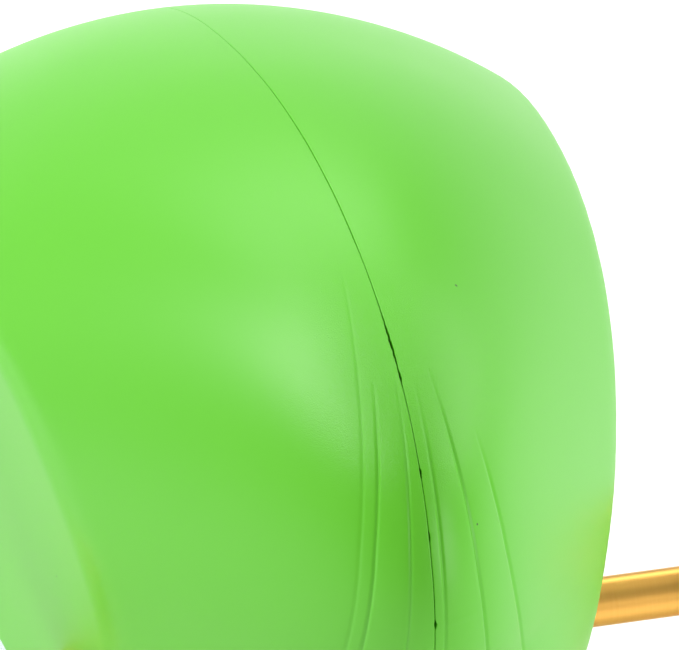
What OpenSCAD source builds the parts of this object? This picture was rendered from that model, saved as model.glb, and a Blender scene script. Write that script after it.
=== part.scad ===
// Drinking bird on a stand with a hidden coil drive.
// The bird faces -Y and its axle runs along X. The origin is on the table, under the middle of the base.

/* [Bird body] */
// Half the length of the body's egg, before its chest is rounded off
body_half_l = 48; // [44:0.5:52]
// Half the height of the body
body_half_h = 20.9; // [19:0.1:23]
// Half the width that the egg would have without its flat flanks
body_half_w = 27.4; // [25:0.1:30]
// Distance from the middle plane to a flat flank, on the body's long axis
flank_x = 17.5; // [16:0.1:19]
// How much narrower the egg gets towards the rump
body_taper = 0.475; // [0.3:0.005:0.55]
// Nose-down tilt of the body in the drinking pose, in degrees
body_tilt = 21; // [15:1:27]
// Wall of the body shells
body_wall = 1.6; // [1.2:0.1:2]
// Length of the stub tail
tail_l = 12; // [10:0.5:14]
// Fullness of the belly
belly = 0.7; // [0.5:0.05:0.9]

/* [Axle and legs] */
// Diameter of the gold axle
axle_d = 3; // [2.5:0.1:4]
// Distance of the axle behind the middle of the egg
axle_back = 7.1; // [6:0.1:9]
// Distance of the axle under the long axis of the egg
axle_drop = 14.9; // [14:0.1:15.2]
// Height of the axle over the table
axle_z = 60; // [59.5:0.5:64]
// Distance from the middle plane to a leg
leg_x = 28.6; // [28.5:0.1:30]
// Diameter of a leg
leg_d = 4.5; // [4:0.1:5]
// Radial play of the axle in its bushes
axle_play = 0.04; // [0.02:0.01:0.08]

/* [Head] */
// Distance from the middle of the egg to the middle of the head
head_reach = 60; // [58:0.5:62]
// Half the length of the head
head_half_l = 14.5; // [13:0.5:16]
// Half the height of the head
head_half_h = 12.5; // [12:0.5:14]
// Half the width of the head
head_half_w = 11.5; // [11:0.5:13]
// Length of the beak outside the head
beak_l = 22; // [20:0.5:23]
// Diameter of the neck tube
neck_d = 7; // [6:0.2:8]
// Distance of the neck and the head under the long axis of the egg
neck_drop = 4; // [3:0.5:5]

/* [Base] */
// Width of the base
base_w = 72; // [71:1:76]
// Length of the base with its cup tray
base_l = 124; // [122:1:130]
// Height of the base over the table
base_h = 20; // [19.5:0.5:21]
// Height of the cup tray over the table
tray_h = 6; // [5.5:0.5:7]
// Length of the tray
tray_l = 51.5; // [51:0.5:53]
// Wall of the base
base_wall = 2.2; // [2:0.1:2.5]

/* [Cup] */
// Outer diameter of the cup at its rim
cup_d = 40; // [38:1:42]
// Height of the cup
cup_h = 17; // [16:0.5:18]

/* [Hidden] */
green = "#6BD14A";
gold = "#E0A83A";
base_white = "#E6E4DE";
$fn = 64;

// Gap between pieces that only lie against each other
gap = 0.05;
axle_r = axle_d / 2;
neck_r = neck_d / 2;
leg_r = leg_d / 2;

// The axle lies in the plane of the legs, and the body's centre follows from it
axle_y = base_l / 2 - 38;
cos_t = cos(body_tilt);
sin_t = sin(body_tilt);
body_y = axle_y - (axle_back * cos_t + axle_drop * sin_t);
body_z = axle_z - (axle_back * sin_t - axle_drop * cos_t);

// Egg shape: exponents of its side view and of its cross-sections
side_e = 2 / 2.17;
wide_e = 2 / 1.96;
rise_e = 2 / 1.6;
// The flanks lean out towards the back and in towards the rump
flank_up = 0.204;
flank_aft = -0.036;
flank_blend = 0.9;
back_narrow = -0.05;
// The chest is rounded off in front of this place
chest_y = 20;
chest_g = 22;
chest_in = 0.42;
// The tail grows from the egg around this angle, under the rump
tail_a = -48;
tail_win = 28;
tail_pow = 8;
// The belly swells over this height from its lowest point
belly_h = 10.7;

// Egg sizes: half width, length, height, flank, tail length, chest bluntness
function egg_sizes(inset) = [body_half_w - inset, body_half_l - inset, body_half_h - inset,
                             flank_x - inset, tail_l - inset / 2, chest_g - inset / 2];
function spow(v, e) = sign(v) * pow(abs(v), e);
function blunt(y, g) = y > -chest_y ? y : -chest_y - g * (1 - exp((y + chest_y) / g));
function full(z, h) = z - belly * pow(max(belly_h - h - z, 0), 2) / belly_h;
function tail_w(t) = let (off = abs((t > 180 ? t - 360 : t) - tail_a))
    off < tail_win ? pow(cos(90 * off / tail_win), 2) : 0;
// The sides draw in towards the chest, from nothing at chest_y to chest_in at the front
function chest_w(y, l) = let (u = min(max((-y - chest_y) / (l - chest_y), 0), 1))
    1 - chest_in * u * u * (3 - 2 * u);
function soft_min(a, b, k) = let (h = min(max(0.5 + 0.5 * (b - a) / k, 0), 1))
    b * (1 - h) + a * h - k * h * (1 - h);

// A point of the egg: s from 0 on the parting line to 90 on the flank, t round the side view from the rump
function egg_pt(s, t, e) =
    let (rho = pow(max(cos(s), 0), rise_e),
         y = rho * e[1] * spow(cos(t), side_e),
         z = full(rho * e[2] * spow(sin(t), side_e), e[2]),
         raw = e[0] * pow(sin(s), wide_e) * (1 - body_taper * y / e[1] + back_narrow * z / e[2]),
         flank = e[3] + flank_aft * y + flank_up * z,
         grow = e[4] * tail_w(t) * pow(max(cos(s), 0), tail_pow),
         len = max(norm([y, z]), 0.01))
    [soft_min(raw, flank, flank_blend) * chest_w(y, e[1]),
     blunt(y, e[5]) + grow * y / len,
     z + grow * z / len];

// A point of the head, which is a plain egg
function head_pt(s, t, e) =
    [e[0] * sin(s), e[1] * cos(s) * cos(t), e[2] * cos(s) * sin(t)];

// Half of a hollow egg on one side of the middle plane. Its outer and inner skins meet in a flat rim.
module half_shell(outer, inner, side, n_t, n_s) {
    rings = concat([for (i = [0:n_s - 1]) outer[i]], [for (i = [0:n_s - 1]) inner[i]]);
    pole_out = outer[n_s][0];
    pole_in = inner[n_s][0];
    pts = [for (ring = rings) for (p = ring) [side * p[0], p[1], p[2]]];
    ends = [[side * pole_out[0], pole_out[1], pole_out[2]], [side * pole_in[0], pole_in[1], pole_in[2]]];
    top = 2 * n_s * n_t;
    function at(i, j) = i * n_t + (j + n_t) % n_t;
    function quad(a, b, c, d) = [[a, b, c], [a, c, d]];
    function turn(f, flip) = flip ? [f[2], f[1], f[0]] : f;
    walls = [for (i = [0:n_s - 2]) for (j = [0:n_t - 1])
        for (f = quad(at(i, j), at(i + 1, j), at(i + 1, j + 1), at(i, j + 1))) f];
    lining = [for (i = [n_s:2 * n_s - 2]) for (j = [0:n_t - 1])
        for (f = quad(at(i, j), at(i, j + 1), at(i + 1, j + 1), at(i + 1, j))) f];
    rim = [for (j = [0:n_t - 1])
        for (f = quad(at(0, j), at(0, j + 1), at(n_s, j + 1), at(n_s, j))) f];
    caps = [for (j = [0:n_t - 1])
        for (f = [[at(n_s - 1, j), top, at(n_s - 1, j + 1)],
                  [at(2 * n_s - 1, j), at(2 * n_s - 1, j + 1), top + 1]]) f];
    polyhedron(concat(pts, ends), [for (f = concat(walls, lining, rim, caps)) turn(f, side > 0)]);
}

// Puts its children in the body's own frame: +Y to the rump along the long axis
module on_body() {
    translate([0, body_y, body_z])
        rotate([body_tilt, 0, 0])
            children();
}

// Puts its children in the frame of the neck and head, under the long axis of the egg
module on_neck() {
    on_body()
        translate([0, 0, -neck_drop])
            children();
}

module body_shell(side) {
    n_t = 60;
    n_s = 14;
    outer = [for (i = [0:n_s]) [for (j = [0:n_t - 1]) egg_pt(ease(i / n_s), j * 360 / n_t, egg_sizes(0))]];
    inner = [for (i = [0:n_s])
        [for (j = [0:n_t - 1]) flat_rim(i, egg_pt(ease(i / n_s), j * 360 / n_t, egg_sizes(body_wall)))]];
    color(green)
        difference() {
            on_body()
                half_shell(outer, inner, side, n_t, n_s);
            on_neck()
                neck_bore(neck_r + gap, neck_seat);
            axle_line(side * 8, side * 30, axle_r + gap);
        }
}

// Angles are closer together near the parting line and near the flank
function ease(u) = 90 * (1 - pow(1 - u, 1.6));
function flat_rim(i, p) = i == 0 ? [0, p[1], p[2]] : p;

// Place of the flat seat that the rear neck collar rests on, along the body's axis
neck_seat = -(chest_y + chest_g * (1 - exp((chest_y - body_half_l) / chest_g))) + 1.2;
collar_r = neck_r + 2.6;
collar_l = 4;

// Bore for the neck with a flat seat, towards the head
module neck_bore(r, seat) {
    along_neck(seat, seat - 12)
        cylinder(r = collar_r + 0.3, h = 12);
    along_neck(seat + 12, seat - 1)
        cylinder(r = r, h = 13);
}

// A cylinder along the neck that starts at one place and runs towards the head
module along_neck(from, to) {
    translate([0, from, 0])
        rotate([90, 0, 0])
            children();
}

// A cylinder along the axle between two places on X
module axle_line(x1, x2, r) {
    translate([min(x1, x2), axle_y, axle_z])
        rotate([0, 90, 0])
            cylinder(r = r, h = abs(x2 - x1));
}

module body_shell_left() {
    body_shell(1);
}

module body_shell_right() {
    body_shell(-1);
}

// ---- Inside of the body ----
boss_half = 5;
boss_r = 3.4;
plate_half = 1.25;
socket_r = neck_r + 2;
socket_l = 12;
ballast_y = 26;
ballast_z = -5.5;
ballast_r = 8;
ballast_t = 6;
bolt_r = 1.5;
magnet_r = 3;
magnet_t = 4;
magnet_y = 34.5;
magnet_z = -15.6;

// A flat bar between two points of the middle plane
module bar(a, b, w) {
    run = b - a;
    translate(a)
        rotate(atan2(run[1], run[0]))
            translate([0, -w / 2])
                square([norm(run), w]);
}

// Outline of the inner frame's plate: bars from the axle to the neck, the ballast and the magnet
module plate_outline() {
    axle_at = [axle_back, -axle_drop];
    ballast_at = [ballast_y, ballast_z];
    magnet_at = [magnet_y, magnet_z];
    bar([neck_seat + socket_l - 2, -neck_drop], axle_at, 5);
    bar(ballast_at, axle_at, 5);
    bar(ballast_at, magnet_at, 4.4);
    translate(ballast_at)
        circle(r = 5, $fn = 48);
    translate(magnet_at)
        circle(r = 3.7, $fn = 48);
}

module inner_frame() {
    color("#D8D8D2")
        difference() {
            union() {
                on_body()
                    rotate([90, 0, 90])
                        linear_extrude(2 * plate_half, center = true)
                            plate_outline();
                on_neck()
                    along_neck(neck_seat + socket_l + 4, 0)
                        cylinder(r = socket_r, h = socket_l);
                axle_line(-boss_half, boss_half, boss_r);
            }
            on_neck()
                along_neck(neck_seat + socket_l + 2, 0)
                    cylinder(r = neck_r + gap, h = socket_l);
            on_body() {
                translate([-plate_half - 1, ballast_y, ballast_z])
                    rotate([0, 90, 0])
                        cylinder(r = bolt_r + gap, h = 2 * plate_half + 2);
                magnet_place()
                    cylinder(r = magnet_r + gap, h = magnet_t + 0.1, center = true);
            }
            axle_line(-boss_half - 1, boss_half + 1, axle_r + 0.01);
        }
}

// The magnet's axis points from the axle through the tail
module magnet_place() {
    aim = atan2(magnet_z + axle_drop, magnet_y - axle_back);
    translate([0, magnet_y, magnet_z])
        rotate([aim - 90, 0, 0])
            children();
}

module ballast(side) {
    color("#8E9296")
        on_body()
            translate([side * (plate_half + gap + ballast_t / 2), ballast_y, ballast_z])
                rotate([0, 90, 0])
                    difference() {
                        cylinder(r = ballast_r, h = ballast_t, center = true);
                        cylinder(r = bolt_r + gap, h = ballast_t + 1, center = true);
                    }
}

module ballast_left() {
    ballast(1);
}

module ballast_right() {
    ballast(-1);
}

module ballast_bolt() {
    half = plate_half + gap + ballast_t;
    head_h = 1.6;
    color("silver")
        on_body()
            translate([0, ballast_y, ballast_z])
                rotate([0, 90, 0]) {
                    cylinder(r = bolt_r, h = 2 * half + 2 * gap, center = true);
                    for (s = [-1, 1])
                        translate([0, 0, s * (half + gap + head_h / 2)])
                            cylinder(r = 2.8, h = head_h, center = true, $fn = 6);
                }
}

module drive_magnet() {
    color("silver")
        on_body()
            magnet_place()
                cylinder(r = magnet_r, h = magnet_t, center = true);
}

// ---- Axle, legs and bushes ----
head_half = 3;
leg_head_r = 5;
bush_r = 2.6;
flange_t = 0.7;
axle_end = leg_x + head_half + 2.6;
cap_r = 2.9;
cap_start = leg_x + head_half + 0.25;

module axle() {
    color(gold)
        axle_line(-axle_end, axle_end, axle_r);
}

// A domed cap, pressed on an end of the axle
module axle_cap(side) {
    dome_h = 3;
    tube_h = 2.2;
    color(gold)
        translate([side * cap_start, axle_y, axle_z])
            rotate([0, side * 90, 0])
                difference() {
                    rotate_extrude()
                        intersection() {
                            union() {
                                square([cap_r, tube_h]);
                                translate([0, tube_h])
                                    circle(r = cap_r);
                            }
                            square([cap_r, tube_h + dome_h]);
                        }
                    translate([0, 0, -1])
                        cylinder(r = axle_r + 0.01, h = 1 + axle_end - cap_start + gap);
                }
}

module axle_cap_left() {
    axle_cap(1);
}

module axle_cap_right() {
    axle_cap(-1);
}

leg_foot_z = 9;

module leg(side) {
    color(gold)
        difference() {
            union() {
                translate([side * leg_x, axle_y, leg_foot_z])
                    cylinder(r = leg_r, h = axle_z - leg_foot_z - 3);
                axle_line(side * (leg_x - head_half), side * (leg_x + head_half), leg_head_r);
            }
            axle_line(side * (leg_x - head_half - 1), side * (leg_x + head_half + 1), bush_r + gap / 2);
            translate([side * leg_x, axle_y, leg_foot_z - 1])
                cylinder(r = 1.25, h = 9);
        }
}

module leg_left() {
    leg(1);
}

module leg_right() {
    leg(-1);
}

module bush(side) {
    inner_x = leg_x - head_half;
    color("#F2EFE6")
        difference() {
            union() {
                axle_line(side * inner_x, side * (leg_x + head_half), bush_r);
                axle_line(side * (inner_x - flange_t - gap), side * (inner_x - gap), bush_r + 1.1);
                axle_line(side * (inner_x - flange_t), side * (inner_x + 1), bush_r);
            }
            axle_line(side * (inner_x - 2), side * (leg_x + head_half + 1), axle_r + axle_play);
        }
}

module bush_left() {
    bush(1);
}

module bush_right() {
    bush(-1);
}

module leg_screws() {
    color("silver")
        for (s = [-1, 1])
            translate([s * leg_x, axle_y, 0]) {
                translate([0, 0, leg_foot_z - socket_floor - 2 - gap])
                    cylinder(r = 2.4, h = 2);
                translate([0, 0, leg_foot_z - socket_floor - 1])
                    cylinder(r = 1.2, h = socket_floor + 7);
            }
}

// ---- Neck and head ----
// Places along the body's axis, from the rear collar to the head
head_rear = -(head_reach - head_half_l);
front_seat = head_rear - 1.8;
tube_end = front_seat - 9;

module neck_tube() {
    start = neck_seat + socket_l + 2 - gap;
    color(gold)
        on_neck()
            along_neck(start, tube_end)
                difference() {
                    cylinder(r = neck_r, h = start - tube_end);
                    translate([0, 0, -1])
                        cylinder(r = neck_r - 0.8, h = start - tube_end + 2);
                }
}

// A collar with rounded shoulders round the neck tube
module collar(from) {
    color(gold)
        on_neck()
            along_neck(from, from - collar_l)
                rotate_extrude()
                    difference() {
                        hull_2d_ring(collar_r, collar_l, 1.2);
                        translate([-1, -1])
                            square([neck_r + gap + 1, collar_l + 2]);
                    }
}

// Half section of a disc with rounded outer edges
module hull_2d_ring(r, h, edge) {
    square([r - edge, h]);
    translate([0, edge])
        square([r, h - 2 * edge]);
    for (z = [edge, h - edge])
        translate([r - edge, z])
            circle(r = edge, $fn = 32);
}

module neck_collar_rear() {
    collar(neck_seat - gap);
}

module neck_collar_front() {
    collar(front_seat + gap + collar_l);
}

core_r = 6;
beak_root_r = 2.6;
beak_r = 4.2;
head_wall = 1.4;
beak_seat = head_half_h - 1.4;

module head_core() {
    from = front_seat - 2.6;
    len = 18.4;
    color("#D8D8D2")
        on_neck()
            difference() {
                along_neck(from, from - len)
                    cylinder(r = core_r, h = len);
                along_neck(from + 1, from - 8)
                    cylinder(r = neck_r + gap, h = 1 + from - tube_end + gap);
                translate([0, -head_reach, -core_r - 1])
                    cylinder(r = beak_root_r + gap, h = 5);
            }
}

// Half of the head. The neck, the beak and an eye go through its wall.
module head_shell(side) {
    n_t = 40;
    n_s = 10;
    big = [head_half_w, head_half_l, head_half_h];
    small = [for (v = big) v - head_wall];
    outer = [for (i = [0:n_s]) [for (j = [0:n_t - 1]) head_pt(i * 90 / n_s, j * 360 / n_t, big)]];
    inner = [for (i = [0:n_s]) [for (j = [0:n_t - 1]) head_pt(i * 90 / n_s, j * 360 / n_t, small)]];
    color(green)
        on_neck()
            difference() {
                translate([0, -head_reach, 0])
                    half_shell(outer, inner, side, n_t, n_s);
                translate([0, front_seat, 0])
                    rotate([-90, 0, 0])
                        cylinder(r = collar_r + 0.3, h = 12);
                along_neck(front_seat + 1, 0)
                    cylinder(r = neck_r + gap, h = 8);
                translate([0, -head_reach, -beak_seat - 8])
                    cylinder(r = beak_r + gap, h = 8);
                translate([0, -head_reach, -beak_seat - 1])
                    cylinder(r = beak_root_r + gap, h = 8);
                eye_place(side)
                    cylinder(r = eye_r + gap, h = 12, center = true);
            }
}

module head_shell_left() {
    head_shell(1);
}

module head_shell_right() {
    head_shell(-1);
}

// A curved cone with a root that is held in the head's core
module beak() {
    root_l = beak_seat - 3;
    color(gold)
        on_neck()
            translate([0, -head_reach, -beak_seat - gap])
                rotate_extrude()
                    union() {
                        translate([0, -beak_l])
                            intersection() {
                                square([beak_r, beak_l]);
                                polygon(concat([[0, beak_l]], [for (u = [0:0.1:1]) beak_rim(u)], [[0, 0]]));
                            }
                        translate([0, -1])
                            square([beak_root_r, root_l - 1]);
                    }
}

// The beak's outline from its seat to its round tip
function beak_rim(u) = [beak_r * pow(cos(90 * u), 0.75) * (1 - 0.25 * sin(180 * u)), beak_l * (1 - u)];

eye_r = 2.1;
eye_fore = 4.5;
eye_up = 3.4;
eye_in = head_half_w - 3.4;

module eye_place(side) {
    translate([side * (eye_in + 3), -head_reach - eye_fore, eye_up])
        rotate([0, side * 90, 0])
            children();
}

// A black button with a domed face
module eye(side) {
    stem_h = 2.3;
    color("#101012")
        on_neck()
            eye_place(side)
                rotate_extrude()
                    intersection() {
                        translate([0, -3])
                            square([eye_r, 8]);
                        union() {
                            translate([0, -3])
                                square([eye_r, stem_h]);
                            translate([0, stem_h - 4])
                                circle(r = sqrt(eye_r * eye_r + 1));
                        }
                    }
}

module eye_left() {
    eye(1);
}

module eye_right() {
    eye(-1);
}

// ---- Base ----
foot_h = 2;
floor_z = 1.4;
floor_t = 2.6;
cover_z = floor_z + floor_t + gap;
block_l = base_l - tray_l;
block_y = base_l / 2 - block_l / 2;
corner_r = 12;
tray_r = 24;
cup_y = -base_l / 2 + 30;
socket_floor = 2.2;
post_r = 3;
screw_r = 1.1;
screw_x = base_w / 2 - 5.5;
screw_back = base_l / 2 - 7;
screw_front = base_l / 2 - block_l + 7;
screw_spots = [[screw_x, screw_back], [-screw_x, screw_back], [screw_x, screw_front], [-screw_x, screw_front]];
foot_spots = [[22, base_l / 2 - 16], [-22, base_l / 2 - 16], [15, -base_l / 2 + 18], [-15, -base_l / 2 + 18]];

// Plan of the base: a block with round corners and a tray that ends in a half circle
module block_plan(grow) {
    round_rect(base_w + 2 * grow, block_l + 2 * grow, corner_r + grow, block_y);
}

module tray_plan(grow) {
    tray_y = -base_l / 2 + tray_r;
    translate([0, tray_y])
        circle(r = tray_r + grow, $fn = 96);
    translate([-tray_r - grow, tray_y])
        square([2 * (tray_r + grow), tray_l - tray_r + corner_r]);
}

module round_rect(w, l, r, y) {
    translate([0, y]) {
        square([w - 2 * r, l], center = true);
        square([w, l - 2 * r], center = true);
        for (sx = [-1, 1], sy = [-1, 1])
            translate([sx * (w / 2 - r), sy * (l / 2 - r)])
                circle(r = r);
    }
}

module base_plan(grow) {
    block_plan(grow);
    tray_plan(grow);
}

module raise(z1, z2) {
    translate([0, 0, z1])
        linear_extrude(z2 - z1)
            children();
}

switch_y = axle_y + 29;
switch_w = 9;
switch_l = 14;
slot_w = 3;
slot_l = 8;
coil_r = 9;
coil_y = axle_y + 14;
wall_in = -base_wall;

module base_cover() {
    color(base_white)
        difference() {
            union() {
                difference() {
                    union() {
                        raise(cover_z, base_h)
                            block_plan(0);
                        raise(cover_z, tray_h)
                            tray_plan(0);
                    }
                    raise(cover_z - 1, base_h - base_wall)
                        block_plan(wall_in);
                }
                for (s = [-1, 1])
                    translate([s * leg_x, axle_y, leg_foot_z - socket_floor])
                        cylinder(r = leg_r + 1.8, h = base_h - leg_foot_z + socket_floor - 1);
                for (p = screw_spots)
                    translate([p[0], p[1], cover_z])
                        cylinder(r = post_r, h = base_h - cover_z - 1);
                for (s = [-1, 1])
                    raise(cell_z + cell_r + gap, base_h - 1)
                        translate([-15, door_y + s * cell_pitch - 1])
                            square([30, 2]);
            }
            for (s = [-1, 1])
                translate([s * leg_x, axle_y, 0]) {
                    translate([0, 0, leg_foot_z - gap])
                        cylinder(r = leg_r + gap / 2, h = base_h);
                    cylinder(r = 1.3, h = base_h);
                }
            for (p = screw_spots)
                translate([p[0], p[1], 0])
                    cylinder(r = screw_r + gap, h = 12);
            translate([0, cup_y, tray_h - 1.6])
                cylinder(r = cup_foot_r + 0.4, h = 10);
            raise(base_h - base_wall - 1, base_h + 1)
                translate([-slot_l / 2, switch_y - slot_w / 2])
                    square([slot_l, slot_w]);
        }
}

door_w = 48;
door_l = 24;
door_t = 1.6;
door_y = block_y - block_l / 2 + 4 + door_l / 2;
door_travel = 4;
door_gap = 0.2;
tongue_w = 0.9;
tongue_z = floor_z + 0.75;
tongue_t = 0.5;
board_w = 34;
board_l = 35;
board_start = axle_y - 1;
pillar_r = 2;

// The door's opening ends in a pocket that the door slides into, with a groove along each side
module base_floor() {
    open_w = door_w + 2 * door_gap;
    open_l = door_l + 2 * door_gap;
    start = door_y - open_l / 2;
    color(base_white)
        difference() {
            union() {
                raise(floor_z, floor_z + floor_t)
                    block_plan(-0.01);
                for (x = [-14, 14], y = [board_start + 5, board_start + board_l - 5])
                    translate([x, y, floor_z + 1])
                        cylinder(r = pillar_r, h = board_z - floor_z - 1 - gap, $fn = 32);
            }
            translate([-open_w / 2, start, 0])
                cube([open_w, open_l, 10]);
            translate([-open_w / 2, start, 0])
                cube([open_w, open_l + door_travel, floor_z + door_t + door_gap]);
            translate([-open_w / 2 - tongue_w, start, tongue_z - 0.15])
                cube([open_w + 2 * tongue_w, open_l + door_travel, tongue_t + 0.3]);
            for (p = screw_spots)
                translate([p[0], p[1], 0]) {
                    cylinder(r = screw_r + 0.2, h = 10);
                    cylinder(r = 2.4, h = floor_z + 1.3);
                }
            for (i = [0, 1])
                translate([foot_spots[i][0], foot_spots[i][1], 0])
                    cylinder(r = foot_r + gap, h = foot_h);
        }
}

// The door has a tongue along each side, ribs under the cells and a ribbed grip
module battery_door() {
    rib_z = floor_z + door_t - 0.5;
    color(base_white)
        difference() {
            union() {
                translate([-door_w / 2, door_y - door_l / 2, floor_z])
                    cube([door_w, door_l, door_t]);
                translate([-door_w / 2 - tongue_w, door_y - door_l / 2, tongue_z])
                    cube([door_w + 2 * tongue_w, door_l, tongue_t]);
                for (s = [-1, 1])
                    translate([-18, door_y + s * cell_pitch - 0.8, rib_z])
                        cube([36, 1.6, cell_z - cell_r - 0.25 - rib_z]);
            }
            for (i = [0:4])
                translate([-8, door_y - door_l / 2 + 3 + i * 1.8, floor_z - 1])
                    cube([16, 0.9, 1.4]);
        }
}

cell_r = 5.2;
cell_l = 44;
cell_pitch = cell_r + 0.3;
cell_z = floor_z + floor_t + cell_r + 0.3;

module battery_cells() {
    color("#B8BCC0")
        for (s = [-1, 1])
            translate([-cell_l / 2 * s, door_y + s * cell_pitch, cell_z])
                rotate([0, s * 90, 0]) {
                    cylinder(r = cell_r, h = cell_l - 1);
                    cylinder(r = 1.8, h = cell_l);
                }
}

module battery_contacts() {
    reach = cell_l / 2;
    color("silver")
        for (s = [-1, 1]) {
            translate([s * (reach + 1.6) - 0.25, door_y - 9, cell_z - 4])
                cube([0.5, 18, 8]);
            translate([s * (reach + 0.7), door_y - s * cell_pitch, cell_z])
                rotate([0, 90, 0])
                    cylinder(r = 2.6, h = 1.25, center = true);
        }
}

board_z = 5.5;

module circuit_board() {
    color("#1F6B3A")
        difference() {
            raise(board_z, board_z + 1.6)
                translate([-board_w / 2, board_start])
                    square([board_w, board_l]);
            translate([0, coil_y, 0])
                cylinder(r = 3.3, h = 20);
        }
}

module coil_bobbin() {
    z1 = board_z + 1.6 + gap;
    z2 = base_h - base_wall - gap;
    color("#E8E4DA")
        translate([0, coil_y, 0])
            difference() {
                union() {
                    for (z = [z1, z2 - 1])
                        translate([0, 0, z])
                            cylinder(r = coil_r, h = 1);
                    translate([0, 0, z1])
                        cylinder(r = 4, h = z2 - z1);
                }
                cylinder(r = 2.4, h = base_h);
            }
}

module coil_winding() {
    z1 = board_z + 2.6 + 2 * gap;
    z2 = base_h - base_wall - 1 - 2 * gap;
    color("#B5651D")
        translate([0, coil_y, z1])
            difference() {
                cylinder(r = coil_r - 0.8, h = z2 - z1);
                translate([0, 0, -1])
                    cylinder(r = 4 + gap, h = 20);
            }
}

slider_z = base_h - base_wall - 2;

module switch_case() {
    z1 = board_z + 1.6 + gap;
    color("#3A3C40")
        difference() {
            raise(z1, slider_z - gap)
                translate([-switch_l / 2, switch_y - switch_w / 2])
                    square([switch_l, switch_w]);
            raise(slider_z - 3, base_h)
                translate([-5.2, switch_y - 1.2])
                    square([10.4, 2.4]);
        }
}

// The slider's plate lies on the switch and its thumb stands through the slot of the cover
module switch_slider() {
    travel = 3;
    color("#E6E6E2")
        translate([-travel / 2, switch_y, 0]) {
            raise(slider_z + gap, slider_z + 1.6)
                square([11, 5], center = true);
            raise(slider_z + 1, base_h + 1)
                square([slot_l - travel - 0.5, slot_w - 0.4], center = true);
            raise(slider_z - 2.4, slider_z + 0.5)
                square([2.4, 1.8], center = true);
        }
}

module base_screws() {
    color("silver")
        for (p = screw_spots)
            translate([p[0], p[1], floor_z + 0.2]) {
                cylinder(r = 2.2, h = 1);
                cylinder(r = screw_r, h = 10);
            }
}

foot_r = 5;

module rubber_feet() {
    color("#1A1A1A")
        for (i = [0:3])
            translate([foot_spots[i][0], foot_spots[i][1], 0])
                cylinder(r = foot_r, h = i < 2 ? foot_h - gap : cover_z - gap);
}

// ---- Cup ----
cup_foot_r = 14;
cup_wall = 1.6;

module cup() {
    r = cup_d / 2;
    z0 = tray_h - 1.6 + gap;
    color("#CFE8F2", 0.5)
        translate([0, cup_y, z0])
            rotate_extrude($fn = 96)
                difference() {
                    cup_side(r, cup_foot_r, 0);
                    translate([0, cup_wall + 0.4])
                        cup_side(r - cup_wall, cup_foot_r - cup_wall, 1);
                }
}

// Half section of the cup: a straight foot and a wall that swells out to the rim
module cup_side(rim, foot, over) {
    steps = 8;
    swell = [for (i = [0:steps]) [foot + (rim - foot) * sin(90 * i / steps), 2 + (cup_h - 2) * i / steps]];
    polygon(concat([[0, 0], [foot, 0]], swell, [[rim, cup_h + over], [0, cup_h + over]]));
}

base_cover();
base_floor();
battery_door();
battery_cells();
battery_contacts();
circuit_board();
coil_bobbin();
coil_winding();
switch_case();
switch_slider();
base_screws();
rubber_feet();
leg_left();
leg_right();
leg_screws();
bush_left();
bush_right();
cup();
axle();
axle_cap_left();
axle_cap_right();
body_shell_left();
body_shell_right();
inner_frame();
ballast_left();
ballast_right();
ballast_bolt();
drive_magnet();
neck_tube();
neck_collar_rear();
neck_collar_front();
head_core();
head_shell_left();
head_shell_right();
beak();
eye_left();
eye_right();
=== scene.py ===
"""Looks of a drinking bird on a coil-driven stand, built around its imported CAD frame."""

import sys

import logging
import math
from dataclasses import dataclass, field, replace
from enum import Enum

import bmesh
import bpy
import numpy as np
from mathutils import Matrix, Vector


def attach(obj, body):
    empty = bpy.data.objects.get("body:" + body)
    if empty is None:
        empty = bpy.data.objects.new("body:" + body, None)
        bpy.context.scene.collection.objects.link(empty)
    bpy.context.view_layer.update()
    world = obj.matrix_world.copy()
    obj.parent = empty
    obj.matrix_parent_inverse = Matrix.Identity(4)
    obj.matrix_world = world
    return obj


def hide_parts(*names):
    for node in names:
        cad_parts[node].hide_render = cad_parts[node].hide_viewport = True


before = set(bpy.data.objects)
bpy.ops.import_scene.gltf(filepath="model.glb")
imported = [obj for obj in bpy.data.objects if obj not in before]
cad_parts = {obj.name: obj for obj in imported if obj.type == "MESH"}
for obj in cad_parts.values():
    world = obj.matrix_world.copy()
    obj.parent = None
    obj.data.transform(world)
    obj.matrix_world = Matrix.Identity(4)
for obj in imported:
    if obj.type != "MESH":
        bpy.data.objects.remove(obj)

LOG = logging.getLogger("drinking_bird")
MM = 0.001
Rings = list[np.ndarray]


class Side(Enum):
    """The two sides of the bird and of its stand."""

    LEFT = 1
    RIGHT = -1


class Body(Enum):
    """CAD bodies that pieces ride on."""

    STAND = "stand"
    BIRD = "bird"
    CUP = "cup"
    DOOR = "battery_door"
    SLIDER = "switch_slider"


# ---- Colour and nodes ----


def linear(code: str, alpha: float = 1.0) -> tuple[float, float, float, float]:
    """Turns an sRGB hex colour into linear light.

    Args:
        code: Colour such as "#6CCE3B".
        alpha: Opacity.

    Returns:
        Red, green, blue and alpha.
    """
    parts = [int(code[i : i + 2], 16) / 255 for i in (1, 3, 5)]
    red, green, blue = (c / 12.92 if c <= 0.04045 else ((c + 0.055) / 1.055) ** 2.4 for c in parts)
    return red, green, blue, alpha


def per_metre(size_mm: float) -> float:
    """Gives the texture scale at which a pattern repeats every size_mm millimetres."""
    return 1.0 / (size_mm * MM)


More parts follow.
